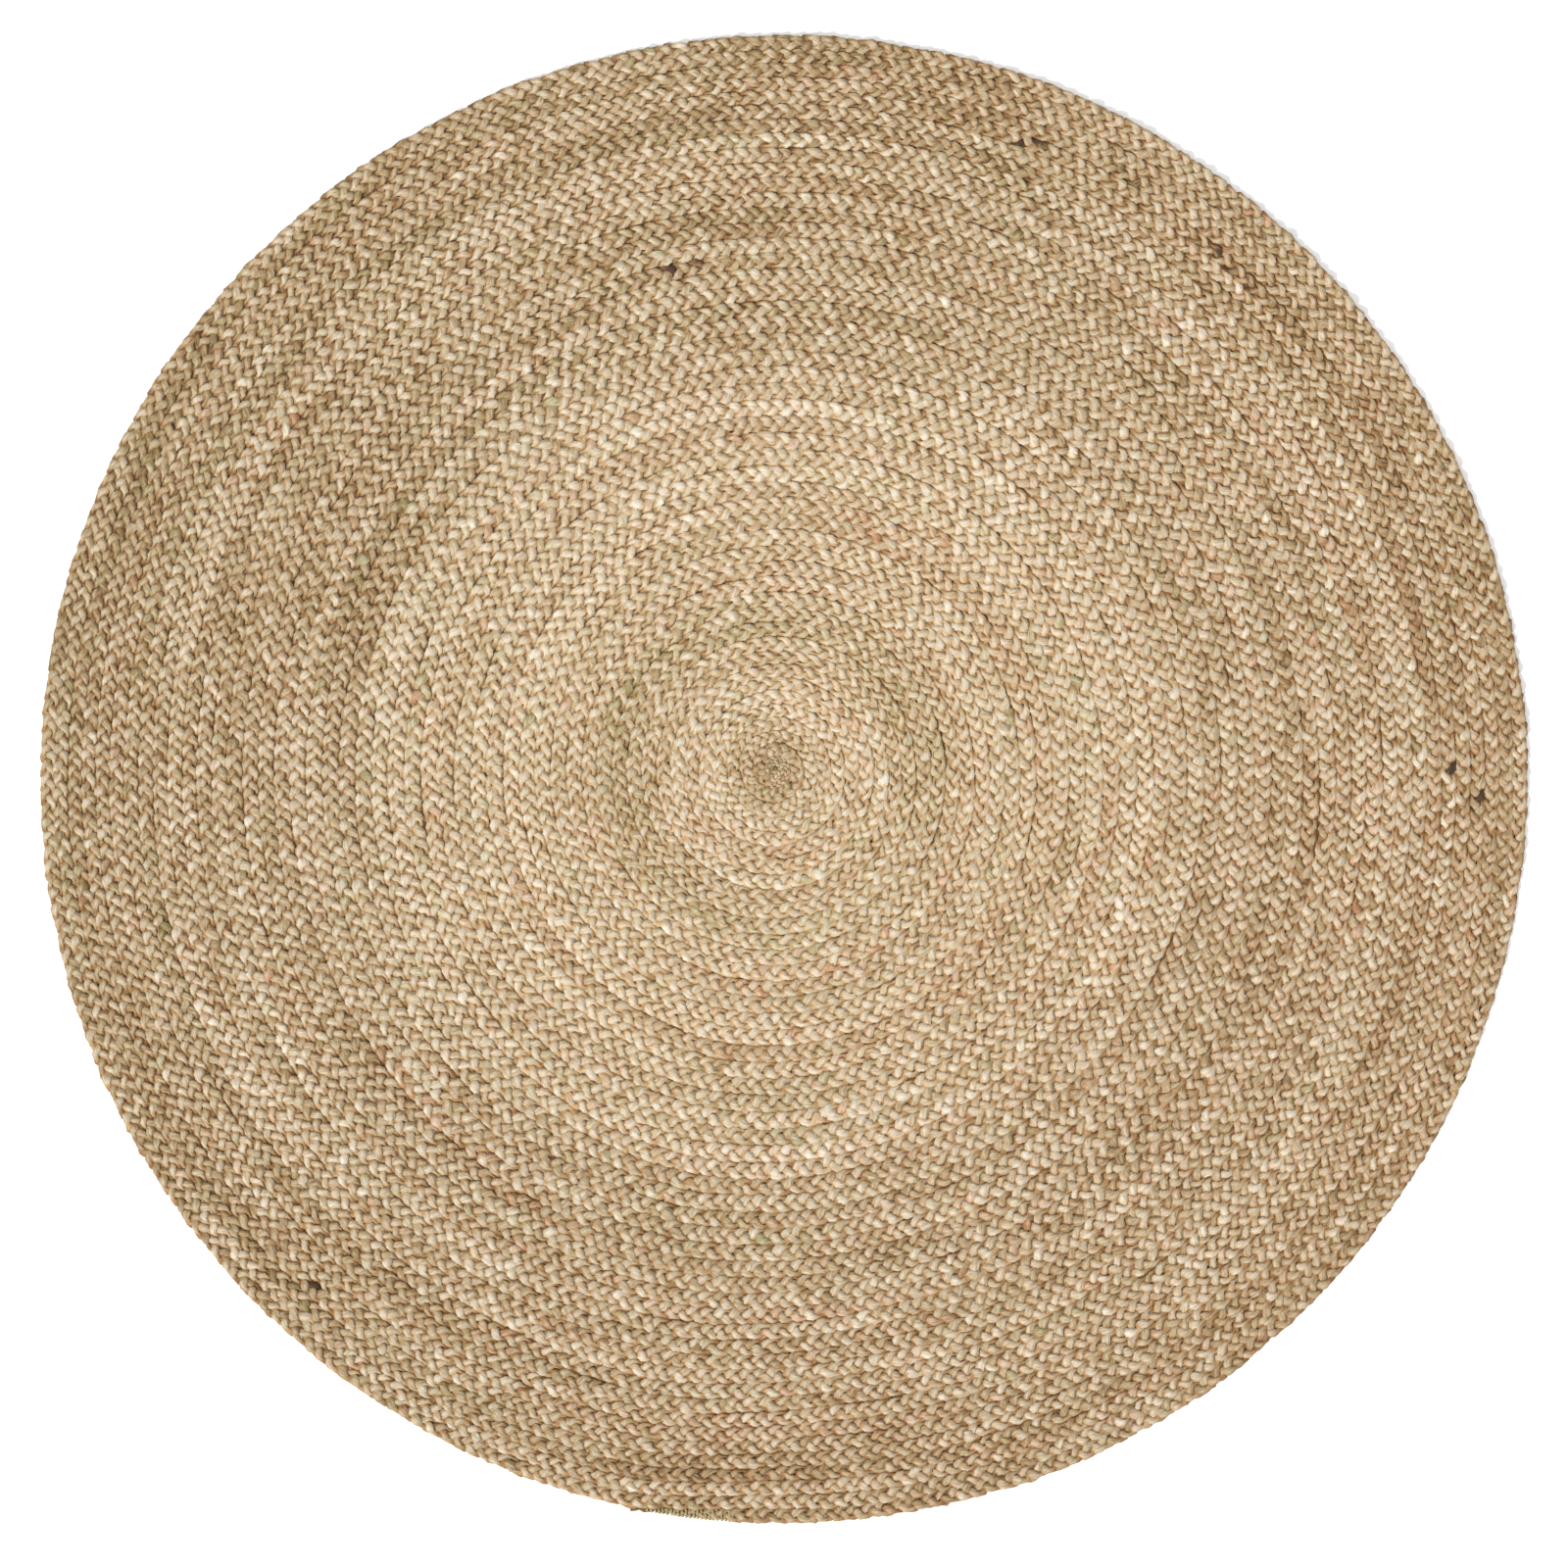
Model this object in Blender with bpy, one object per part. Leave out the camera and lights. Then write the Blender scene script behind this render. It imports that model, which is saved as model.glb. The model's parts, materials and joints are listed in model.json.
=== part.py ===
"""A round jute rug: one flat three-strand braid, wound outwards from a knotted eye and laced edge to edge.

A place on the spiral is a number of turns from the eye. The wall between two neighbouring rows is a seam:
a row at turn t lies between the seam at t - 1, on its inner side, and the seam at t, on its outer side.
"""

import math

import bmesh
import bpy
from mathutils import Matrix, Vector

# Driving dimensions, in metres.
DIAMETER = 1.830
THICKNESS = 0.0095
TURNS = 48  # rows that a line from the eye to the rim crosses
ROW_SWELL = 0.09  # half way out the rows are this share wider than average; at the eye and the rim, narrower
EYE_RADIUS = 0.0075  # the knotted start, where the first row leaves it
EYE_OFFSET = Vector((-0.012, 0.013))  # the eye lies a little off the rim's centre
TAIL_ANGLE = math.radians(258)  # where the braid ends on the rim, seen from above
TAPER_SHARE = 0.025  # the share of a turn over which the last row thins out
TAIL_HEIGHT = 0.0065  # the flattened tail's height at its tip
CLEARANCE = 0.0003  # between any two pieces

# The braid is spliced from batches, and each laced seam uses several lengths of thread.
BRAID_LENGTHS = 14
THREAD_LENGTHS = 6

# Each row draws in towards its underside, which leaves a V-shaped groove along every seam for the lacing.
GROOVE = 0.0016
THREAD_WIDTH = 0.0024
THREAD_HEIGHT = 0.0030
THREAD_LIFT = 0.0006  # the lacing stays clear of the floor
WHIPPING = 0.0008  # thickness of the thread wound round the tail

# Facets: a turn has even steps and then short ones through the taper. The inner turns have half as many.
EVEN_STEPS = 30
TAPER_STEPS = 4
COARSE_TURNS = 12

RIM_RADIUS = DIAMETER / 2
ROW_WIDTH = (RIM_RADIUS - EYE_RADIUS) / TURNS  # on average
END = TURNS + 1  # the eye itself takes the first turn
TAIL_START = END - TAPER_SHARE
TAIL_WHIPPED = END - TAPER_SHARE * 3 / 4
TAIL_TIP = END - TAPER_SHARE / 4
THREAD_START = 0.1

# Colours of the batches, the tail and the thread, in linear RGB.
STRAW = (0.56, 0.45, 0.29)
HONEY = (0.50, 0.37, 0.22)
FAWN = (0.44, 0.33, 0.20)
OLIVE = (0.38, 0.34, 0.18)
TWINE = (0.60, 0.50, 0.35)


def spiral_radius(turn):
    """A row moves out by its own width once a turn: all the way round at the eye, in the taper at the rim."""
    whole = math.floor(turn)
    share = TAPER_SHARE ** min(turn / TURNS, 1)
    step = max(0, (turn - whole - 1 + share) / share)
    rows = min(whole + step, TURNS)
    swelling = ROW_SWELL * TURNS / (2 * math.pi) * math.sin(2 * math.pi * rows / TURNS)
    return EYE_RADIUS + ROW_WIDTH * (rows - swelling)


def outward(turn):
    angle = TAIL_ANGLE + 2 * math.pi * (END - turn)
    return Vector((math.cos(angle), math.sin(angle)))


def on_spiral(turn):
    return EYE_OFFSET * (1 - turn / END) + outward(turn) * spiral_radius(turn)


def turn_shares(whole):
    """The places of one turn's corners, as shares of the turn."""
    halved = 2 if whole < COARSE_TURNS else 1
    even, taper = EVEN_STEPS // halved, TAPER_STEPS // halved
    shares = [(1 - TAPER_SHARE) * i / even for i in range(even)]
    return shares + [1 - TAPER_SHARE * (1 - i / taper) for i in range(taper)]


def corners_between(first, last):
    """The turns of all corners from first to last, with both ends."""
    found = [whole + share for whole in range(int(first), int(last) + 1) for share in turn_shares(whole)]
    return [first] + [turn for turn in found if first + 1e-6 < turn < last - 1e-6] + [last]


def seam(turn):
    """A point on the seam's straight facet at this turn."""
    whole = math.floor(turn + 1e-9)
    corners = [whole + share for share in turn_shares(whole)] + [whole + 1]
    before = max(corner for corner in corners[:-1] if corner <= turn + 1e-9)
    after = corners[corners.index(before) + 1]
    share = (turn - before) / (after - before)
    return on_spiral(before).lerp(on_spiral(after), share)


def along(turn, distance):
    """The turn that lies this far from another along the row's inner side."""
    return turn + distance / (2 * math.pi * spiral_radius(max(turn - 1, 0)))


def at(point, height):
    return Vector((point.x, point.y, height))


def row_section(turn, groove=GROOVE, inset=0.0, height=THICKNESS, floor=0.0):
    """A row's four corners: up its inner side and down its outer side."""
    out = outward(turn)
    draw = CLEARANCE / 2 + inset
    inner = seam(turn - 1) + out * draw
    outer = seam(turn) - out * draw
    return [
        at(inner + out * groove, floor),
        at(inner, height),
        at(outer, height),
        at(outer - out * groove, floor),
    ]


def thread_section(turn):
    """The lacing's three corners, point up in the groove."""
    out = outward(turn)
    middle = seam(turn)
    return [
        at(middle - out * THREAD_WIDTH / 2, THREAD_LIFT),
        at(middle, THREAD_LIFT + THREAD_HEIGHT),
        at(middle + out * THREAD_WIDTH / 2, THREAD_LIFT),
    ]


def material(name, colour, roughness):
    made = bpy.data.materials.new(name)
    made.use_nodes = True
    shader = made.node_tree.nodes["Principled BSDF"]
    shader.inputs["Base Color"].default_value = (*colour, 1)
    shader.inputs["Roughness"].default_value = roughness
    shader.inputs["Metallic"].default_value = 0
    return made


def bridge(bm, first, second):
    """Walls between two loops of corners."""
    count = len(first)
    for i in range(count):
        after = (i + 1) % count
        bm.faces.new((first[i], first[after], second[after], second[i]))


def finish(bm, name, look):
    bmesh.ops.recalc_face_normals(bm, faces=bm.faces)
    mesh = bpy.data.meshes.new(name)
    bm.to_mesh(mesh)
    bm.free()
    mesh.shade_smooth()
    mesh.set_sharp_from_angle(angle=math.radians(30))
    mesh.materials.append(look)
    made = bpy.data.objects.new(name, mesh)
    bpy.context.collection.objects.link(made)
    return made


def sweep(name, sections, look):
    """One solid through a list of sections, closed at both ends."""
    bm = bmesh.new()
    loops = [[bm.verts.new(corner) for corner in section] for section in sections]
    for first, second in zip(loops, loops[1:]):
        bridge(bm, first, second)
    bm.faces.new(loops[0])
    bm.faces.new(loops[-1])
    return finish(bm, name, look)


def sleeve(name, outer_sections, inner_sections, look):
    """One open-ended tube between two lists of sections."""
    bm = bmesh.new()
    outer = [[bm.verts.new(corner) for corner in section] for section in outer_sections]
    inner = [[bm.verts.new(corner) for corner in section] for section in inner_sections]
    for loops in (outer, inner):
        for first, second in zip(loops, loops[1:]):
            bridge(bm, first, second)
    bridge(bm, outer[0], inner[0])
    bridge(bm, outer[-1], inner[-1])
    return finish(bm, name, look)


def make_eye(look):
    """The knotted start: a flat coil of one turn, with a step where the first row leaves it."""
    turns = corners_between(0, 1)
    top = [at(seam(turn) - outward(turn) * CLEARANCE / 2, THICKNESS) for turn in turns]
    draw = GROOVE + CLEARANCE / 2
    underside = [at(seam(turn) - outward(turn) * draw, 0) for turn in turns]
    return sweep("eye_knot", [underside, top], look)


def make_braid(looks):
    """The rows, in spliced lengths that hold the same area, and so about the same length of braid."""
    start = along(1, CLEARANCE / 2)
    run = TAIL_START**2 - start**2
    joints = [math.sqrt(start**2 + run * i / BRAID_LENGTHS) for i in range(BRAID_LENGTHS + 1)]
    for i, (first, last) in enumerate(zip(joints, joints[1:])):
        turns = corners_between(along(first, CLEARANCE / 2), along(last, -CLEARANCE / 2))
        sections = [row_section(turn) for turn in turns]
        sweep(f"braid_length_{i + 1:02d}", sections, looks[i % len(looks)])


def tail_height(turn):
    return THICKNESS + (TAIL_HEIGHT - THICKNESS) * (turn - TAIL_START) / (TAIL_TIP - TAIL_START)


def make_tail(look, thread_look):
    """The thinned end of the braid, with its neck inside a whipping of thread."""
    shoulder = corners_between(along(TAIL_START, CLEARANCE / 2), along(TAIL_WHIPPED, -CLEARANCE / 2))
    wrapped = corners_between(along(TAIL_WHIPPED, CLEARANCE / 2), TAIL_TIP)
    neck_draw = WHIPPING + CLEARANCE

    def neck(turn):
        height = tail_height(turn) - neck_draw
        return row_section(turn, groove=0, inset=neck_draw, height=height, floor=neck_draw)

    sections = [row_section(turn, height=tail_height(turn)) for turn in shoulder]
    sections += [neck(turn) for turn in [shoulder[-1] + 1e-6] + wrapped]
    sweep("braid_tail", sections, look)
    outer = [row_section(turn, groove=0, height=tail_height(turn)) for turn in wrapped]
    bore = [
        row_section(turn, groove=0, inset=WHIPPING, height=tail_height(turn) - WHIPPING, floor=WHIPPING)
        for turn in wrapped
    ]
    sleeve("tail_whipping", outer, bore, thread_look)


def make_lacing(look):
    """The thread in the groove under every seam, in lengths that reach as far as each other."""
    last_turn = along(TAIL_WHIPPED - 1, -CLEARANCE)
    run = last_turn**2 - THREAD_START**2
    ends = [math.sqrt(THREAD_START**2 + run * i / THREAD_LENGTHS) for i in range(THREAD_LENGTHS + 1)]
    for i, (first, last) in enumerate(zip(ends, ends[1:])):
        turns = corners_between(along(first, CLEARANCE / 2), along(last, -CLEARANCE / 2))
        sweep(f"lacing_thread_{i + 1}", [thread_section(turn) for turn in turns], look)


def centre_on_origin(objects):
    """Moves every mesh together, so that the rug's own box is centred on the frame's origin."""
    corners = [vertex.co for made in objects for vertex in made.data.vertices]
    middle_x = (min(c.x for c in corners) + max(c.x for c in corners)) / 2
    middle_y = (min(c.y for c in corners) + max(c.y for c in corners)) / 2
    for made in objects:
        made.data.transform(Matrix.Translation((-middle_x, -middle_y, 0)))


def main():
    for old in list(bpy.data.objects):
        bpy.data.objects.remove(old, do_unlink=True)
    straw = material("jute_straw", STRAW, 0.9)
    honey = material("jute_honey", HONEY, 0.9)
    fawn = material("jute_fawn", FAWN, 0.9)
    olive = material("jute_olive", OLIVE, 0.9)
    twine = material("jute_twine", TWINE, 0.85)
    make_eye(honey)
    make_braid((straw, honey, fawn))
    make_tail(olive, twine)
    make_lacing(twine)
    centre_on_origin(list(bpy.data.objects))


main()
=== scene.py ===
"""A round jute rug, plaited from three-strand braid and laced in a spiral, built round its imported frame."""

import json
import math

import bpy
import numpy as np
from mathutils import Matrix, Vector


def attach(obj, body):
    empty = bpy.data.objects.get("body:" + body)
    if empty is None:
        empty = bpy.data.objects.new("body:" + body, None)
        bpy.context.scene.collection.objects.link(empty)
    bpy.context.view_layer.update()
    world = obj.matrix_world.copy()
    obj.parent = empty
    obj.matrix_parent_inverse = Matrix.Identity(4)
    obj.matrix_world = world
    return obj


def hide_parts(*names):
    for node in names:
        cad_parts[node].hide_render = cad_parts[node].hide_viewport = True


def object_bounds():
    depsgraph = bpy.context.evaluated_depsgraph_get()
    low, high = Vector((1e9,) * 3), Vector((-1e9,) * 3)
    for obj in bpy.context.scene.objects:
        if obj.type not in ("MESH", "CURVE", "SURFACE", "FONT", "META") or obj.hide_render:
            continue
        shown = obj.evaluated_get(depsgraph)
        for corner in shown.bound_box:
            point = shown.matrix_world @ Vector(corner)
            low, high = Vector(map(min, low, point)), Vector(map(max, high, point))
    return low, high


bl_info = {
    "name": "Braided jute rug",
    "version": (1, 0, 0),
    "blender": (4, 5, 0),
    "location": "3D View > Sidebar > Rug",
    "description": "Plaits, laces and binds a round jute rug, strand by strand",
    "category": "Object",
}

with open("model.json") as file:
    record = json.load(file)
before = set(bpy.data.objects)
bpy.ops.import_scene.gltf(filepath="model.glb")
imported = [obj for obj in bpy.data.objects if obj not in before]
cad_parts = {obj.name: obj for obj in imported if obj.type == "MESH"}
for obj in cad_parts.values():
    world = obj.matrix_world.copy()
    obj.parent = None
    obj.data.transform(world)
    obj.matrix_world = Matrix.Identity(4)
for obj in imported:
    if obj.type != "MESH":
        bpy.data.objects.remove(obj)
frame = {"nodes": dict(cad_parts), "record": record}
CAD_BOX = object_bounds()

BODY = "root"
BRAIDS = sorted(name for name in frame["nodes"] if name.startswith("braid_length_"))
THREADS = sorted(name for name in frame["nodes"] if name.startswith("lacing_thread_"))
SLOTS = {entry["node"]: entry["material_slot"] for entry in frame["record"]["subparts"]}
MM = 0.001
STRANDS = 3

# The spiral, as the frame has it. Turns are counted from the eye, and the first one is the knot itself.
RIM_CENTRE = np.array((-0.0010, 0.0009))
EYE_OFFSET = np.array((-0.012, 0.013))
RIM_RADIUS = 0.915
EYE_RADIUS = 0.0075
TURNS = 48
END = TURNS + 1
ROW_WIDTH = (RIM_RADIUS - EYE_RADIUS) / TURNS
ROW_SWELL = 0.09
TAIL_ANGLE = math.radians(258)
TAPER_SHARE = 0.025
THICKNESS = float(CAD_BOX[1][2] - CAD_BOX[0][2])
MIDDLE = THICKNESS / 2
START = 0.12  # the turn at which the strands come out of the knot
STRAND_APART = 300  # metres between the strands' patterns, so that no two are alike
FLOOR_GAP = 0.1 * MM  # the least that any strand stays above the floor
SEED = 48

# The batches of jute: the turns where they change, and how much paler or darker than the middle tone each is.
BATCHES = (
    (-0.5, 0.1, 1.2, 2, 5, 21, 27.2, 28, 41, 48),
    (-0.3, -0.17, -0.12, 0.0, 0.05, 0.06, 0.04, -0.06, -0.07, -0.12),
)
# Paler and darker strands are mixed more boldly further out: turns, and the share of the full variation.
MIXING = ((3, 20, 30), (0.5, 0.45, 0.85))
# The strands are pressed flatter towards the eye: turns, and the share of their full rise and dip.
RELIEF = ((0, 8, 22, 30), (0.55, 0.6, 0.7, 0.92))
# The plait is drawn in tighter round the eye: turns, and the share of its full repeat.
DRAWING_IN = ((1, 2, 7), (0.62, 0.66, 1))
# The side of the rug where the jute has turned a little redder, and how much redder it is at the rim.
REDDEST = math.radians(315)
REDDENING = 0.08
# How much flatter the tail is pressed than the rest, and how much greener it and the eye are.
TAIL_PRESSING = 0.35
TAIL_GREEN = 0.4
EYE_GREEN = 0.3
# The braid lies rolled a little. The strands on top shift towards the eye, in half widths of the row, and
# those at the outer edge rise and are fuller, and are made paler as a painted highlight on the raised side.
ROLL_SHIFT = 0.15
ROLL_RISE = 0.5 * MM
ROLL_FULLNESS = 0.2
ROLL_PAINTED_HIGHLIGHT = 0.04
# How abruptly a strand changes from over to under the others, and how much higher it is as it turns back.
ABRUPTNESS = 1.2
EDGE_HEIGHTENING = 0.2
# The last row is drawn in, so that the rim is even: by this share of its half width, over so many turns.
LAST_ROW_INSET = 0.14
LAST_ROW_EASE = 1 / 20
# How uneven hand work leaves the braid, the strands and their tufts: by how much, and over how many metres
# from one bend of the variation to the next.
BRAID_CROSSING = (1, 0.03)
BRAID_SWAY = (0.1, 0.05)
BRAID_TONE = (0.05, 1.5)
BRAID_TONE_AGAIN = (0.05, 0.3)
BRAID_TINT = (0.08, 2.0)
STRAND_CROSSING = (0.7, 0.04)
STRAND_SWING = (0.08, 0.03)
STRAND_LIFT = (0.25, 0.02)
STRAND_GIRTH = (0.12, 0.25)
STRAND_TWIST = (1.5, 0.08)
STRAND_TONE = (0.12, 0.12)
STRAND_TINT = (0.12, 0.15)
TUFT_GIRTH = (0.2, 0.018)
TUFT_TONE = (0.1, 0.018)
TUFT_TINT = (0.14, 0.02)
# Stray handfuls are where this variation goes beyond this level. They are tinted by this share of the rest.
STRAY = (1, 0.09)
STRAY_FROM = 1.05
STRAY_TINT = 0.8
# Odd handfuls of jute worked in: the turn, the strand, the length, how much darker and how much rustier.
SPLICES = (
    (33.434, 0, 0.026, 0.7, 0.0),
    (33.441, 1, 0.026, 0.35, 0.3),
    (43.714, 1, 0.030, 0.35, -0.5),
    (44.525, 2, 0.030, 0.5, -0.2),
    (44.578, 0, 0.080, 0.3, -0.25),
    (44.993, "all", 0.110, 0.12, 0.1),
    (45.085, 2, 0.030, 0.5, 0.0),
    (45.549, 1, 0.060, 0.3, -0.3),
    (45.721, 0, 0.030, 0.45, -0.2),
)
# The eye's coils, finer than the rows: first and last turn, the shares of the row's width that they lie
# between, and their repeat as a share of the rows'.
EYE_COILS = ((-0.85, 0.2, 0, 1, 0.75), (START, 1.03, 0, 0.5, 0.6), (START, 1.03, 0.5, 1, 0.6))

# The lacing goes to and fro across a seam and up and down in it.
LACING_SWING = 1.6 * MM
LACING_LEVEL = 3 * MM
LACING_BOB = 0.5 * MM
# The whipping covers the taper between these shares of it, reaches this far past the tail's edges, and goes
# this far up and down round this level.
WHIPPED = (0.9, 0.15)
WHIPPING_REACH = 0.8 * MM
WHIPPING_LEVEL = 3.3 * MM
WHIPPING_RISE = 3.1 * MM

# The view is this many times as wide as the rug, and its middle is this far below the rug's.
VIEW_MARGIN = 1.0533246
VIEW_DROP = 0.006


def linear(colour):
    """An sRGB hex colour as linear RGBA."""
    parts = [int(colour[i : i + 2], 16) / 255 for i in (1, 3, 5)]
    return (*[p / 12.92 if p <= 0.04045 else ((p + 0.055) / 1.055) ** 2.4 for p in parts], 1)


WHITE = linear("#ffffff")


def length_property(name, description, default):
    """A length in metres, shown in the scene's unit."""
    return bpy.props.FloatProperty(
        name=name, description=description, default=default, subtype="DISTANCE", unit="LENGTH"
    )


def number_property(name, description, default):
    """A share, a count or an angle."""
    return bpy.props.FloatProperty(name=name, description=description, default=default)


def colour_property(name, description, default):
    """A colour, given as sRGB hex and kept linear."""
    return bpy.props.FloatVectorProperty(
        name=name, description=description, default=linear(default), subtype="COLOR", size=4, min=0, max=1
    )


class RugSizes(bpy.types.PropertyGroup):
    """Sizes of the plait, which a maker sets by the strands' thickness and how tight they are drawn"""

    repeat: length_property("Repeat", "Length in which a strand goes to both edges and back", 54 * MM)
    rings: bpy.props.IntProperty(
        name="Rings", description="Cross-sections of a strand in one repeat", default=18, min=8
    )
    sides: bpy.props.IntProperty(name="Sides", description="Corners of a cross-section", default=6, min=5)
    bunching: number_property("Bunching", "How much closer the rings are where a strand crosses the row", 0.2)
    swing: number_property("Swing", "How far a strand swings out, as a share of the row's half width", 0.75)
    steepness: number_property("Steepness", "How straight across the row a strand goes before it turns", 0.8)
    strand_width: number_property("Strand width", "Width of a crossing strand, as a share of the row's", 0.7)
    edge_width: number_property("Edge width", "Width of a strand where it turns back, likewise", 0.46)
    strand_height: length_property("Strand height", "Half a strand's height", 2.5 * MM)
    lift: length_property("Lift", "How far a strand rises over the others and dips under them", 1.9 * MM)
    bulge: number_property("Bulge", "How much fuller a strand is on its crossings than where it dives", 0.3)
    lean: number_property("Lean", "How far the braid is rolled towards the eye", 0.35)
    twist: length_property("Twist", "Length of strand in which its yarns turn once round each other", 75 * MM)
    groove: number_property("Groove", "Depth of the groove between yarns, as a share of their reach", 0.22)
    unevenness: number_property("Unevenness", "How far crossings stray from their places, in radians", 0.38)
    roughness: length_property("Roughness", "How far the strands' surface strays from smooth", 0.25 * MM)
    stitch: length_property("Stitch", "Length of seam in which the lacing goes to and fro once", 18 * MM)
    lacing_width: length_property("Lacing width", "Half the width of the lacing's flat twine", 5 * MM)
    lacing_height: length_property("Lacing height", "Half the height of the lacing's flat twine", 1.4 * MM)
    whipping: length_property("Whipping", "Length of tail taken by one turn of the whipping twine", 4.8 * MM)
    whipping_width: length_property("Whipping width", "Half the width of the whipping twine", 1.5 * MM)
    whipping_height: length_property("Whipping height", "Half the height of the whipping twine", 0.9 * MM)


class RugColours(bpy.types.PropertyGroup):
    """Colours of the jute, what tints it, and the twines"""

    darkest: colour_property("Darkest", "Odd handfuls from the root of the plant", "#4e331b")
    dark: colour_property("Dark", "The brownest strands", "#94784f")
    fawn: colour_property("Fawn", "Strands darker than the middle tone", "#bda580")
    straw: colour_property("Straw", "The middle tone", "#d8c8af")
    pale: colour_property("Pale", "Strands paler than the middle tone", "#efe5d2")
    palest: colour_property("Palest", "Single bleached fibres", "#fffcf4")
    green: colour_property("Green", "What unripe jute is multiplied by", "#c6c9a8")
    greenish: colour_property("Greenish", "What nearly ripe jute is multiplied by", "#e9ecdc")
    pinkish: colour_property("Pinkish", "What overripe jute is multiplied by", "#fcebe4")
    rusty: colour_property("Rusty", "What the ripest jute is multiplied by", "#e4c0aa")
    # Painted shade: the next two colours darken the strands where they lie down between the others, at the
    # rug's middle height, and on their flanks.
    painted_fold_shade: colour_property("Fold", "What the bottom of a fold is multiplied by", "#bd9056")
    painted_flank_shade: colour_property("Flank", "What a strand's flanks are multiplied by", "#f0dfc2")
    # Painted shade: the lacing colours are dark because the twine lies low in the seams, where shade falls
    # between the rows.
    lacing_dark_painted_shade: colour_property("Lacing, dark", "Darker fibres of the lacing twine", "#634626")
    lacing_light_painted_shade: colour_property("Lacing, light", "Lighter fibres of the lacing twine", "#86683e")
    whipping_dark: colour_property("Whipping, dark", "Darker fibres of the whipping twine", "#8b7c50")
    whipping_light: colour_property("Whipping, light", "Lighter fibres of the whipping twine", "#c9b88c")


def equal_lengths(first, last, pieces):
    """The turns that cut the spiral into pieces of the same length."""
    return [math.sqrt(first**2 + (last**2 - first**2) * i / pieces) for i in range(pieces + 1)]


def spiral_radius(turn):
    """A row moves out by its own width once a turn: all the way round at the eye, in the taper at the rim."""
    whole = np.floor(turn)
    share = TAPER_SHARE ** np.minimum(turn / TURNS, 1)
    step = np.maximum(0, (turn - whole - 1 + share) / share)
    rows = np.minimum(whole + step, TURNS)
    swelling = ROW_SWELL * TURNS / (2 * math.pi) * np.sin(2 * math.pi * rows / TURNS)
    return EYE_RADIUS + ROW_WIDTH * (rows - swelling)


def outward(turn):
    angle = TAIL_ANGLE + 2 * math.pi * (END - turn)
    return np.stack([np.cos(angle), np.sin(angle)], axis=-1)


def seam(turn):
    """Points on the wall between two rows. Before turn 0, the wall closes in on the eye."""
    radius = np.where(turn < 0, EYE_RADIUS * np.maximum(turn + 1, 0), spiral_radius(np.maximum(turn, 0)))
    centre = RIM_CENTRE + EYE_OFFSET * (1 - np.maximum(turn, 0) / END)[:, None]
    return centre + outward(turn) * radius[:, None]


class Wander:
    """Smooth random variation along a length, between about -1 and 1, with a bend every so often."""

    def __init__(self, rng, length, spacing):
        self.spacing = spacing
        self.knots = rng.normal(0, 0.6, int(length / spacing) + 4).clip(-1.5, 1.5)

    def __call__(self, place):
        step = np.maximum(place, 0) / self.spacing
        before = np.minimum(step.astype(int), len(self.knots) - 2)
        share = step - before
        share = share * share * (3 - 2 * share)
        return self.knots[before] * (1 - share) + self.knots[before + 1] * share


class RowPath:
    """The middle of a row between two turns, by its length so far. Shares narrow it to part of the width."""

    def __init__(self, first, last, inside=0, outside=1):
        self.inside = inside
        self.outside = outside
        self.turn = np.linspace(first, last, int((last - first) * 1200) + 60)
        middle = np.mean(self.walls(self.turn), axis=0)
        self.length = length_along(middle)
        self.whole = self.length[-1]

    def walls(self, turn):
        inner, outer = seam(turn - 1), seam(turn)
        return inner + (outer - inner) * self.inside, inner + (outer - inner) * self.outside

    def at(self, place):
        """Turn, middle, outward direction and half width at these lengths."""
        turn = np.interp(place, self.length, self.turn)
        inner, outer = self.walls(turn)
        return turn, (inner + outer) / 2, outward(turn), np.linalg.norm(outer - inner, axis=1) / 2

    def place_of(self, turn):
        return float(np.interp(turn, self.turn, self.length))


def length_along(path):
    """The length of a path up to each of its points."""
    return np.concatenate([[0], np.cumsum(np.linalg.norm(np.diff(path, axis=0), axis=1))])


def unit(vectors):
    return vectors / np.linalg.norm(vectors, axis=1)[:, None]


def tube(path, width, height, twist, groove, sides):
    """Rings of corners round a path, width to each side and height up and down. Every other corner is drawn
    in by the groove's share, and the corners turn with the twist, like yarns round each other."""
    ahead = unit(np.gradient(path, axis=0))
    side = unit(np.cross(ahead, (0, 0, 1)))
    up = np.cross(side, ahead)
    angle = np.arange(sides)[None, :] * 2 * math.pi / sides + twist[:, None]
    reach = 1 - groove * (np.arange(sides) % 2)
    across = np.cos(angle) * reach * width[:, None]
    rise = np.sin(angle) * reach * height[:, None]
    return path[:, None, :] + side[:, None, :] * across[..., None] + up[:, None, :] * rise[..., None]


def along_strand(run, width, height, sides):
    """Where each corner lies in a strand pulled straight: its length so far and its place in the section."""
    around = np.arange(sides) * 2 * math.pi / sides
    radius = np.sqrt(width * height)[:, None]
    length = np.repeat(run[:, None], sides, axis=1)
    return np.stack([length, radius * np.cos(around)[None, :], radius * np.sin(around)[None, :]], axis=-1)


def tube_faces(rings, sides, first):
    """Quads between the rings and a cap at each end, as corner numbers."""
    ring = np.arange(rings - 1)[:, None] * sides
    here = np.arange(sides)[None, :]
    after = (here + 1) % sides
    quads = np.stack([ring + here, ring + sides + here, ring + sides + after, ring + after], axis=-1)
    start_cap = np.arange(sides)
    end_cap = (rings - 1) * sides + np.arange(sides)[::-1]
    return quads.reshape(-1, 4) + first, [start_cap + first, end_cap + first]


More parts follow.
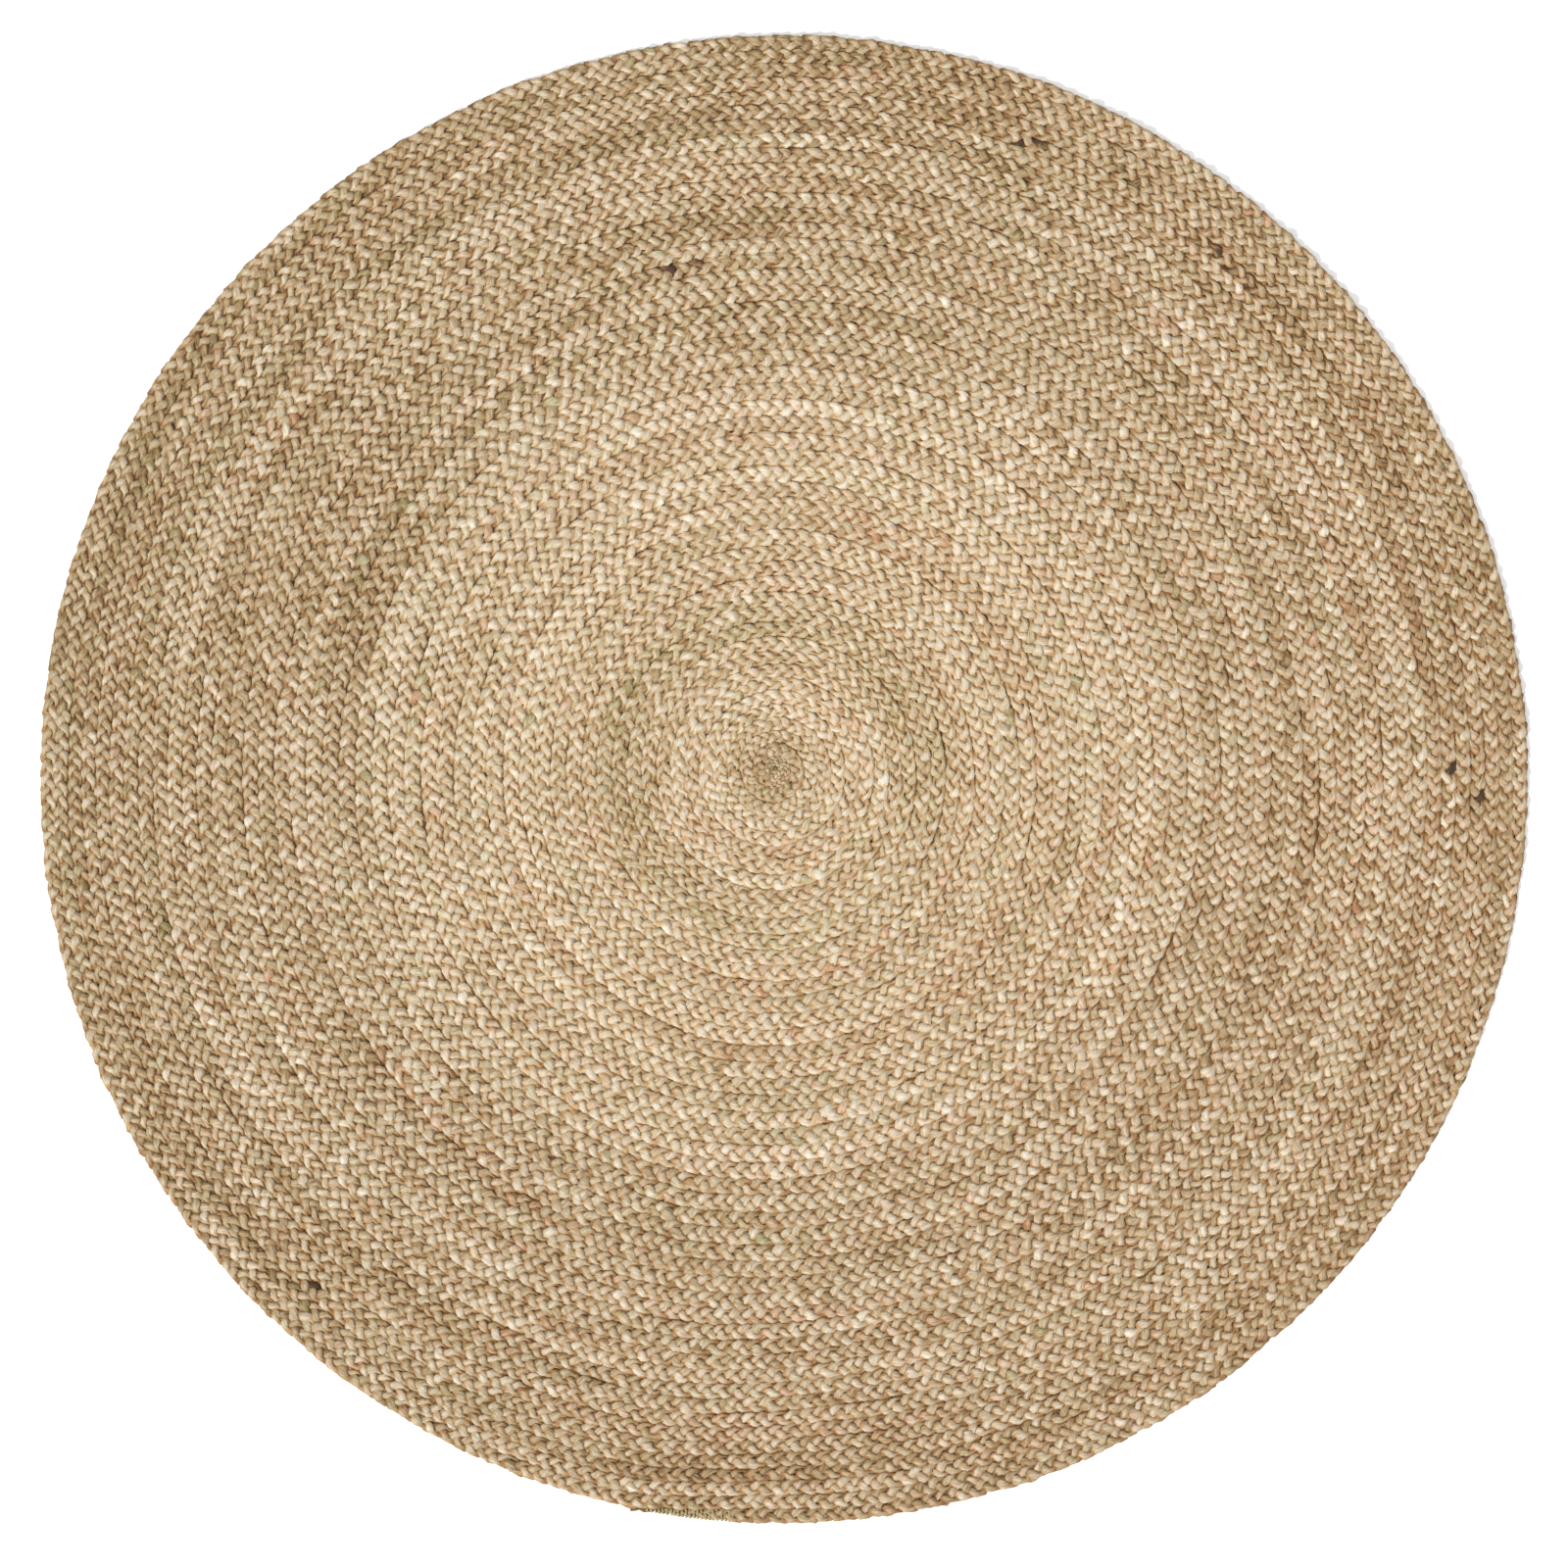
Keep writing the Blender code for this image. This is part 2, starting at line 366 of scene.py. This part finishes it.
def mesh_of(name, tubes, sides, attributes):
    """One mesh object of several closed tubes. Each attribute holds a value or a vector for every corner."""
    points = np.concatenate([rings.reshape(-1, 3) for rings in tubes])
    quads, caps, first = [], [], 0
    for rings in tubes:
        found, ends = tube_faces(len(rings), sides, first)
        quads.append(found)
        caps += ends
        first += rings.shape[0] * sides
    quads = np.concatenate(quads)
    loops = np.concatenate([quads.ravel(), *caps]).astype(np.int32)
    starts = np.concatenate(
        [np.arange(len(quads)) * 4, len(quads) * 4 + np.arange(len(caps)) * sides]
    ).astype(np.int32)
    mesh = bpy.data.meshes.new(name)
    mesh.vertices.add(len(points))
    mesh.vertices.foreach_set("co", points.astype(np.float32).ravel())
    mesh.loops.add(len(loops))
    mesh.loops.foreach_set("vertex_index", loops)
    mesh.polygons.add(len(starts))
    mesh.polygons.foreach_set("loop_start", starts)
    mesh.update(calc_edges=True)
    mesh.validate()
    mesh.shade_smooth()
    for attribute, values in attributes.items():
        if values.ndim == 1:
            made = mesh.attributes.new(attribute, "FLOAT", "POINT")
            made.data.foreach_set("value", values.astype(np.float32))
        else:
            layer = mesh.attributes.new(attribute, "FLOAT_VECTOR", "POINT")
            layer.data.foreach_set("vector", values.astype(np.float32).ravel())
    made = bpy.data.objects.new(name, mesh)
    bpy.context.collection.objects.link(made)
    return made


def add_node(tree, kind, links=None, values=None, stops=(), **settings):
    """A node with its settings, its sockets' values, the sockets that feed it and its ramp's stops."""
    made = tree.nodes.new(kind)
    for key, value in settings.items():
        setattr(made, key, value)
    for key, value in (values or {}).items():
        made.inputs[key].default_value = value
    for key, source in (links or {}).items():
        tree.links.new(source, made.inputs[key])
    if stops:
        elements = made.color_ramp.elements
        while len(elements) < len(stops):
            elements.new(0.5)
        for element, (place, colour) in zip(elements, stops):
            element.position = place
            element.color = colour
    return made


def new_material(name):
    made = bpy.data.materials.new(name)
    made.use_nodes = True
    made.node_tree.nodes.clear()
    return made, made.node_tree


def jute_material(colours):
    """Raw jute roving, loosely spun and hand plaited: matt and streaked lengthways, with painted shade that
    makes it darker and browner in the folds.
    """
    made, tree = new_material("raw jute, hand plaited, with painted fold shade")
    place = add_node(tree, "ShaderNodeAttribute", attribute_name="strand_place").outputs["Vector"]
    tone = add_node(tree, "ShaderNodeAttribute", attribute_name="tone").outputs["Fac"]
    painted_fold_shade = add_node(tree, "ShaderNodeAttribute", attribute_name="painted_fold_shade").outputs["Fac"]
    tint = add_node(tree, "ShaderNodeAttribute", attribute_name="tint").outputs["Fac"]

    # Fibres run along the strand, 14 mm long and 1.1 mm wide: coarser than real ones, so that they show.
    stretched = add_node(
        tree, "ShaderNodeMapping", {"Vector": place}, {"Scale": (1 / 0.014, 1 / 0.0011, 1 / 0.0011)}
    ).outputs["Vector"]
    fibres = add_node(
        tree, "ShaderNodeTexNoise", {"Vector": stretched}, {"Scale": 1.0, "Detail": 3.0, "Roughness": 0.6}
    ).outputs["Fac"]
    # Tufts of them, 12 mm long and 3.5 mm wide, are paler or darker together.
    stretched = add_node(
        tree, "ShaderNodeMapping", {"Vector": place}, {"Scale": (1 / 0.012, 1 / 0.0035, 1 / 0.0035)}
    ).outputs["Vector"]
    tufts = add_node(
        tree, "ShaderNodeTexNoise", {"Vector": stretched}, {"Scale": 1.0, "Detail": 2.0, "Roughness": 0.5}
    ).outputs["Fac"]
    # Fibres and tufts each make the strand's tone up to a third darker or paler.
    level = add_node(
        tree, "ShaderNodeMath", {0: fibres, 2: tone}, {1: 0.7}, operation="MULTIPLY_ADD"
    ).outputs[0]
    level = add_node(
        tree, "ShaderNodeMath", {0: tufts, 2: level}, {1: 0.7}, operation="MULTIPLY_ADD"
    ).outputs[0]
    level = add_node(
        tree, "ShaderNodeMath", {0: level}, {1: -0.67}, operation="ADD", use_clamp=True
    ).outputs[0]
    straw = add_node(
        tree,
        "ShaderNodeValToRGB",
        {"Fac": level},
        stops=(
            (0, colours.darkest),
            (0.14, colours.dark),
            (0.34, colours.fawn),
            (0.55, colours.straw),
            (0.76, colours.pale),
            (1, colours.palest),
        ),
    ).outputs["Color"]

    # Fibres ripen unevenly, in tufts 9 mm long and 2.2 mm wide: some stay greenish, some turn pink or rusty.
    stretched = add_node(
        tree, "ShaderNodeMapping", {"Vector": place}, {"Scale": (1 / 0.009, 1 / 0.0022, 1 / 0.0022)}
    ).outputs["Vector"]
    ripeness = add_node(
        tree, "ShaderNodeTexNoise", {"Vector": stretched}, {"Scale": 1.0, "Detail": 1.0, "Roughness": 0.5}
    ).outputs["Fac"]
    ripeness = add_node(
        tree, "ShaderNodeMath", {0: ripeness, 2: tint}, {1: 0.8}, operation="MULTIPLY_ADD"
    ).outputs[0]
    ripeness = add_node(tree, "ShaderNodeMath", {0: ripeness}, {1: -0.4}, operation="ADD").outputs[0]
    hue = add_node(
        tree,
        "ShaderNodeValToRGB",
        {"Fac": ripeness},
        stops=(
            (0, colours.green),
            (0.2, colours.greenish),
            (0.45, WHITE),
            (0.6, WHITE),
            (0.8, colours.pinkish),
            (1, colours.rusty),
        ),
    ).outputs["Color"]
    ripened = add_node(
        tree, "ShaderNodeMix", {6: straw, 7: hue}, {0: 1.0}, data_type="RGBA", blend_type="MULTIPLY"
    ).outputs[2]

    # Painted shade: the strands are made darker and browner the nearer they lie to the rug's middle height,
    # down in the folds between them, where shade falls.
    shade = add_node(
        tree,
        "ShaderNodeValToRGB",
        {"Fac": painted_fold_shade},
        stops=((0, colours.painted_fold_shade), (0.4, colours.painted_flank_shade), (0.85, WHITE)),
    ).outputs["Color"]
    colour = add_node(
        tree, "ShaderNodeMix", {6: ripened, 7: shade}, {0: 1.0}, data_type="RGBA", blend_type="MULTIPLY"
    ).outputs[2]
    rough = add_node(
        tree, "ShaderNodeMapRange", {"Value": fibres}, {"To Min": 0.45, "To Max": 0.8}
    ).outputs["Result"]
    bump = add_node(
        tree, "ShaderNodeBump", {"Height": fibres}, {"Strength": 0.6, "Distance": 0.6 * MM}
    ).outputs["Normal"]
    shader = add_node(
        tree,
        "ShaderNodeBsdfPrincipled",
        {"Base Color": colour, "Roughness": rough, "Normal": bump},
        {"IOR": 1.45, "Sheen Weight": 0.15, "Sheen Roughness": 0.5},
    )
    add_node(tree, "ShaderNodeOutputMaterial", {"Surface": shader.outputs["BSDF"]})
    return made


def twine_material(name, dark, light):
    """Two-ply jute twine, spun tight: duller and smoother than the roving, with its plies across it."""
    made, tree = new_material(name)
    place = add_node(tree, "ShaderNodeAttribute", attribute_name="strand_place").outputs["Vector"]
    plies = add_node(
        tree,
        "ShaderNodeTexWave",
        {"Vector": place},
        {"Scale": 160.0, "Distortion": 2.0, "Detail": 2.0},
        bands_direction="DIAGONAL",
    ).outputs["Fac"]
    # The jute changes colour every 4 mm or so, more than the plies do.
    mottle = add_node(
        tree, "ShaderNodeTexNoise", {"Vector": place}, {"Scale": 1 / 0.004, "Detail": 2.0}
    ).outputs["Fac"]
    level = add_node(
        tree, "ShaderNodeMix", {2: plies, 3: mottle}, {0: 0.65}, data_type="FLOAT"
    ).outputs[0]
    colour = add_node(
        tree, "ShaderNodeValToRGB", {"Fac": level}, stops=((0.3, dark), (0.7, light))
    ).outputs["Color"]
    bump = add_node(
        tree, "ShaderNodeBump", {"Height": plies}, {"Strength": 0.4, "Distance": 0.3 * MM}
    ).outputs["Normal"]
    shader = add_node(
        tree,
        "ShaderNodeBsdfPrincipled",
        {"Base Color": colour, "Normal": bump},
        {"Roughness": 0.9, "IOR": 1.4},
    )
    add_node(tree, "ShaderNodeOutputMaterial", {"Surface": shader.outputs["BSDF"]})
    return made


def floor_material():
    """A studio light table's opal acrylic: matt, white and faintly lit from below."""
    made, tree = new_material("opal acrylic light table")
    place = add_node(tree, "ShaderNodeTexCoord").outputs["Object"]
    mottle = add_node(tree, "ShaderNodeTexNoise", {"Vector": place}, {"Scale": 3.0}).outputs["Fac"]
    colour = add_node(
        tree, "ShaderNodeValToRGB", {"Fac": mottle}, stops=((0.3, linear("#fafafa")), (0.7, WHITE))
    ).outputs["Color"]
    shader = add_node(
        tree,
        "ShaderNodeBsdfPrincipled",
        {"Base Color": colour},
        {"Roughness": 0.9, "Specular IOR Level": 0.2, "Emission Color": WHITE, "Emission Strength": 0.2},
    )
    add_node(tree, "ShaderNodeOutputMaterial", {"Surface": shader.outputs["BSDF"]})
    return made


class Plait:
    """The three strands plaited along one row, ready to be cut into lengths."""

    def __init__(self, sizes, row, fineness=1, seed=SEED):
        self.sizes = sizes
        self.row = row
        self.fineness = fineness
        self.seed = seed
        self.strands = [self.strand(number) for number in range(STRANDS)]

    def strand(self, number):
        """One strand's rings and what colours them, with the rings closest where it crosses the row."""
        sizes, row = self.sizes, self.row
        shared = np.random.default_rng(self.seed)
        own = np.random.default_rng(self.seed + 1 + number)

        def together(amount, spacing):
            """Variation that the three strands share."""
            return amount * Wander(shared, row.whole, spacing)(place)

        def alone(amount, spacing):
            """Variation of this strand's own."""
            return amount * Wander(own, row.whole, spacing)(place)

        # The angle goes once round in a repeat, from the row's middle. A quarter on is its outer edge.
        phase = 2 * math.pi * number / STRANDS
        tightness = 2 * math.pi / (sizes.repeat * self.fineness * np.interp(row.turn, *DRAWING_IN))
        wound = (tightness[1:] + tightness[:-1]) / 2 * np.diff(row.length)
        wound = np.concatenate([[0], np.cumsum(wound)])
        even = np.arange(0, wound[-1], 2 * math.pi / sizes.rings)
        angle = even - sizes.bunching * np.sin(2 * (even + phase))
        place = np.interp(angle, wound, row.length)
        turn, middle, out, half = row.at(place)
        uneven = sizes.unevenness * (together(*BRAID_CROSSING) + alone(*STRAND_CROSSING))
        angle = angle + phase + uneven

        # The strand swings from edge to edge, and is over the others on its way from an edge to the middle.
        tail = np.clip((turn - END + TAPER_SHARE) / (TAPER_SHARE * 3 / 4), 0, 1)
        flat = 1 - TAIL_PRESSING * tail
        side = sizes.lean * np.sin(angle)
        steep = np.sin(angle - sizes.steepness / 4 * np.sin(4 * angle))
        across = half * (sizes.swing * (1 + alone(*STRAND_SWING)) * steep + together(*BRAID_SWAY))
        over = np.tanh(-ABRUPTNESS * np.sin(2 * angle)) / math.tanh(ABRUPTNESS)
        relief = np.interp(turn, *RELIEF) * self.fineness**0.3
        lift = sizes.lift * (1 + alone(*STRAND_LIFT)) * flat * relief
        inset = LAST_ROW_INSET * np.clip((turn - TURNS) / LAST_ROW_EASE, 0, 1)
        across = across - sizes.lean * ROLL_SHIFT * half * over - inset * half
        rise = MIDDLE * flat + lift * over + ROLL_RISE * side
        path = np.column_stack([middle + out * across[:, None], rise])

        # It is fullest on a crossing, narrower and higher where it turns back, and uneven as it was spun.
        edge = np.abs(np.sin(angle)) ** 3
        full = 1 + sizes.bulge * (np.sin(2 * angle) ** 2 - 0.5)
        thick = full * (1 + alone(*STRAND_GIRTH) + alone(*TUFT_GIRTH))
        width = sizes.strand_width * (1 - edge) + sizes.edge_width * edge
        width = half * thick * width * (1 + ROLL_FULLNESS * side)
        height = sizes.strand_height * flat * thick * (1 + EDGE_HEIGHTENING * edge)
        run = length_along(path)
        twist = 2 * math.pi * run / sizes.twist + alone(*STRAND_TWIST)
        rings = tube(path, width, height, twist, sizes.groove, sizes.sides)
        rings = rings + own.normal(0, sizes.roughness * self.fineness, rings.shape)
        rings[..., 2] = np.maximum(rings[..., 2], FLOOR_GAP)

        # The tone follows the batches, and changes from row to row, strand to strand and tuft to tuft.
        tone = 0.5 + np.interp(turn, *BATCHES) + together(*BRAID_TONE) + together(*BRAID_TONE_AGAIN)
        tone = tone + np.interp(turn, *MIXING) * (alone(*STRAND_TONE) + alone(*TUFT_TONE))
        # Painted highlight: the strands on the braid's raised outer edge are made paler, as if lit more.
        tone = tone + ROLL_PAINTED_HIGHLIGHT * side
        # The tint is green below a half and rusty above it. A stray handful is much of either.
        stray = alone(*STRAY)
        tint = 0.5 + alone(*STRAND_TINT) + alone(*TUFT_TINT) + together(*BRAID_TINT)
        tint = tint + STRAY_TINT * (np.maximum(stray - STRAY_FROM, 0) - np.maximum(-stray - STRAY_FROM, 0))
        reddened = np.cos(TAIL_ANGLE + 2 * math.pi * (END - turn) - REDDEST)
        tint = tint + REDDENING * reddened * turn / TURNS
        tint = tint - TAIL_GREEN * tail - EYE_GREEN * np.clip(1.1 - turn, 0, 0.5)
        for where, which, length, darker, rustier in SPLICES:
            if which in (number, "all") and row.turn[0] < where < row.turn[-1]:
                share = np.clip(1.5 - np.abs(place - row.place_of(where)) / (length / 2), 0, 1)
                tone = tone - darker * share
                tint = tint + rustier * share
        # Painted shade: the fold shading is darkest where a corner lies at the rug's middle height, down
        # between the strands, and fades out towards the top.
        level = (MIDDLE * flat)[:, None]
        return {
            "turn": turn,
            "rings": rings,
            "tone": np.repeat(tone[:, None], sizes.sides, axis=1),
            "tint": np.repeat(tint[:, None], sizes.sides, axis=1),
            "painted_fold_shade": np.abs(rings[..., 2] - level) / level,
            "strand_place": along_strand(run + STRAND_APART * number, width, height, sizes.sides),
        }

    def between(self, first, last):
        """The stretch of every strand between two turns."""
        for strand in self.strands:
            low, high = np.searchsorted(strand["turn"], (first, last))
            yield {key: values[low : high + 1] for key, values in strand.items()}


def braid_mesh(name, parts, sides):
    """One mesh object of several strands, with the attributes that colour them."""
    parts = list(parts)
    attributes = {
        key: np.concatenate([part[key].reshape(-1, *part[key].shape[2:]) for part in parts])
        for key in ("tone", "tint", "painted_fold_shade", "strand_place")
    }
    return mesh_of(name, [part["rings"] for part in parts], sides, attributes)


def twine_piece(name, path, half_width, half_height, sides):
    """One length of twine along a path."""
    width = np.full(len(path), half_width)
    height = np.full(len(path), half_height)
    rings = tube(path, width, height, np.zeros(len(path)), 0, sides)
    rings[..., 2] = np.maximum(rings[..., 2], FLOOR_GAP)
    place = along_strand(length_along(path), width, height, sides).reshape(-1, 3)
    return mesh_of(name, [rings], sides, {"strand_place": place})


def settle(piece, look, slot, *nodes):
    """Gives a finished piece its finish and its body, and hides the frame nodes that it stands for."""
    piece.data.materials.append(look)
    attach(piece, BODY)
    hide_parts(*nodes)


class RUG_OT_eye(bpy.types.Operator):
    """Coils the eye from finer braid, twice as many rows as the rug's own"""

    bl_idname = "rug.eye"
    bl_label = "Coil the eye"

    def execute(self, context):
        sizes = context.scene.rug_sizes
        parts = []
        for number, (first, last, inside, outside, fineness) in enumerate(EYE_COILS):
            seed = SEED + 10 * number + 10
            plait = Plait(sizes, RowPath(first, last, inside, outside), fineness, seed)
            parts += plait.between(first - 1, last + 1)
        piece = braid_mesh("eye_knot_coil", parts, sizes.sides)
        settle(piece, jute_material(context.scene.rug_colours), SLOTS["eye_knot"], "eye_knot")
        return {"FINISHED"}


class RUG_OT_braid(bpy.types.Operator):
    """Plaits the strands of every braid length, from the eye to the tail"""

    bl_idname = "rug.braid"
    bl_label = "Plait the braid"

    def execute(self, context):
        sizes = context.scene.rug_sizes
        plait = Plait(sizes, RowPath(1, END - TAPER_SHARE / 4))
        look = jute_material(context.scene.rug_colours)
        tail = END - TAPER_SHARE
        joints = equal_lengths(1, tail, len(BRAIDS))
        for name, first, last in zip((*BRAIDS, "braid_tail"), joints, (*joints[1:], END)):
            piece = braid_mesh(f"{name}_plait", plait.between(first, last), sizes.sides)
            settle(piece, look, SLOTS[name], name)
        return {"FINISHED"}


class RUG_OT_lacing(bpy.types.Operator):
    """Draws the lacing twine to and fro through the edges of neighbouring rows"""

    bl_idname = "rug.lacing"
    bl_label = "Lace the rows"

    def execute(self, context):
        sizes = context.scene.rug_sizes
        colours = context.scene.rug_colours
        # The lacing is a broad flat twine laid low in every seam, and its dark colours are painted shade that
        # fills the gaps between rows.
        look = twine_material("spun jute twine, with painted seam shade", colours.lacing_dark_painted_shade, colours.lacing_light_painted_shade)
        turn = np.linspace(START, TURNS, 60_000)
        length = length_along(seam(turn))
        joints = equal_lengths(START, TURNS, len(THREADS))
        for name, first, last in zip(THREADS, joints, joints[1:]):
            low, high = np.interp((first, last), turn, length)
            place = np.arange(low, high, sizes.stitch / 3)
            here = np.interp(place, length, turn)
            angle = 2 * math.pi * place / sizes.stitch
            middle = seam(here) + outward(here) * (LACING_SWING * np.sin(angle))[:, None]
            path = np.column_stack([middle, LACING_LEVEL + LACING_BOB * np.cos(2 * angle)])
            piece = twine_piece(f"{name}_twine", path, sizes.lacing_width, sizes.lacing_height, 4)
            settle(piece, look, SLOTS[name], name)
        return {"FINISHED"}


class RUG_OT_whipping(bpy.types.Operator):
    """Whips the tail with twine, turn after turn, where it lies flat against the last row"""

    bl_idname = "rug.whipping"
    bl_label = "Whip the tail"

    def execute(self, context):
        sizes = context.scene.rug_sizes
        row = RowPath(*[END - TAPER_SHARE * share for share in WHIPPED])
        steps = 14  # points in one turn of the twine
        place = np.arange(0, row.whole, sizes.whipping / steps)
        _, middle, out, half = row.at(place)
        rng = np.random.default_rng(SEED + 30)
        uneven = Wander(rng, row.whole, 0.004)(place)
        angle = 2 * math.pi * place / sizes.whipping + 1.5 * Wander(rng, row.whole, 0.007)(place)
        reach = (half + WHIPPING_REACH) * (1 + 0.08 * uneven)
        rise = WHIPPING_LEVEL + WHIPPING_RISE * np.sin(angle) + 0.7 * MM * uneven
        path = np.column_stack([middle + out * (reach * np.cos(angle))[:, None], rise])
        piece = twine_piece("tail_whipping_twine", path, sizes.whipping_width, sizes.whipping_height, 5)
        colours = context.scene.rug_colours
        look = twine_material("green jute twine", colours.whipping_dark, colours.whipping_light)
        settle(piece, look, SLOTS["tail_whipping"], "tail_whipping")
        return {"FINISHED"}


class RUG_OT_stage(bpy.types.Operator):
    """Sets up the floor, the lights and the camera"""

    bl_idname = "rug.stage"
    bl_label = "Set the stage"

    def execute(self, context):
        bpy.ops.object.select_all(action="DESELECT")
        bpy.ops.mesh.primitive_plane_add(size=40, location=(0, 0, 0))
        floor = context.active_object
        floor.name = "studio_floor"
        floor.data.materials.append(floor_material())
        world = bpy.data.worlds.new("studio")
        world.use_nodes = True
        sky = world.node_tree.nodes["Background"]
        sky.inputs["Color"].default_value = WHITE
        sky.inputs["Strength"].default_value = 0.66
        context.scene.world = world
        lamp = bpy.data.lights.new("key", "SUN")
        lamp.energy = 2.2
        lamp.angle = math.radians(6)
        key = bpy.data.objects.new("key", lamp)
        azimuth, elevation = math.radians(225), math.radians(42)
        key.rotation_euler = (math.pi / 2 - elevation, 0, azimuth + math.pi / 2)
        context.collection.objects.link(key)
        lens = bpy.data.cameras.new("camera")
        lens.lens = 100
        lens.sensor_width = 36
        view_width = 2 * RIM_RADIUS * VIEW_MARGIN
        camera = bpy.data.objects.new("camera", lens)
        distance = view_width * lens.lens / lens.sensor_width
        camera.location = (RIM_CENTRE[0], RIM_CENTRE[1] - VIEW_DROP, distance + THICKNESS)
        context.collection.objects.link(camera)
        context.scene.camera = camera
        context.scene.view_settings.view_transform = "Standard"
        return {"FINISHED"}


class RUG_PT_panel(bpy.types.Panel):
    """The rug's sizes, colours and steps"""

    bl_idname = "RUG_PT_panel"
    bl_label = "Jute rug"
    bl_space_type = "VIEW_3D"
    bl_region_type = "UI"
    bl_category = "Rug"

    def draw(self, context):
        for kind, group in ((RugSizes, context.scene.rug_sizes), (RugColours, context.scene.rug_colours)):
            for name in kind.__annotations__:
                self.layout.prop(group, name)
        for step in STEPS:
            self.layout.operator(step.bl_idname)


STEPS = (RUG_OT_stage, RUG_OT_eye, RUG_OT_braid, RUG_OT_lacing, RUG_OT_whipping)
CLASSES = (RugSizes, RugColours, *STEPS, RUG_PT_panel)


def register():
    for cls in CLASSES:
        bpy.utils.register_class(cls)
    bpy.types.Scene.rug_sizes = bpy.props.PointerProperty(type=RugSizes)
    bpy.types.Scene.rug_colours = bpy.props.PointerProperty(type=RugColours)


def unregister():
    del bpy.types.Scene.rug_colours
    del bpy.types.Scene.rug_sizes
    for cls in reversed(CLASSES):
        bpy.utils.unregister_class(cls)


def main():
    register()
    bpy.ops.rug.stage()
    bpy.ops.rug.eye()
    bpy.ops.rug.braid()
    bpy.ops.rug.lacing()
    bpy.ops.rug.whipping()


if __name__ == "__main__":
    main()
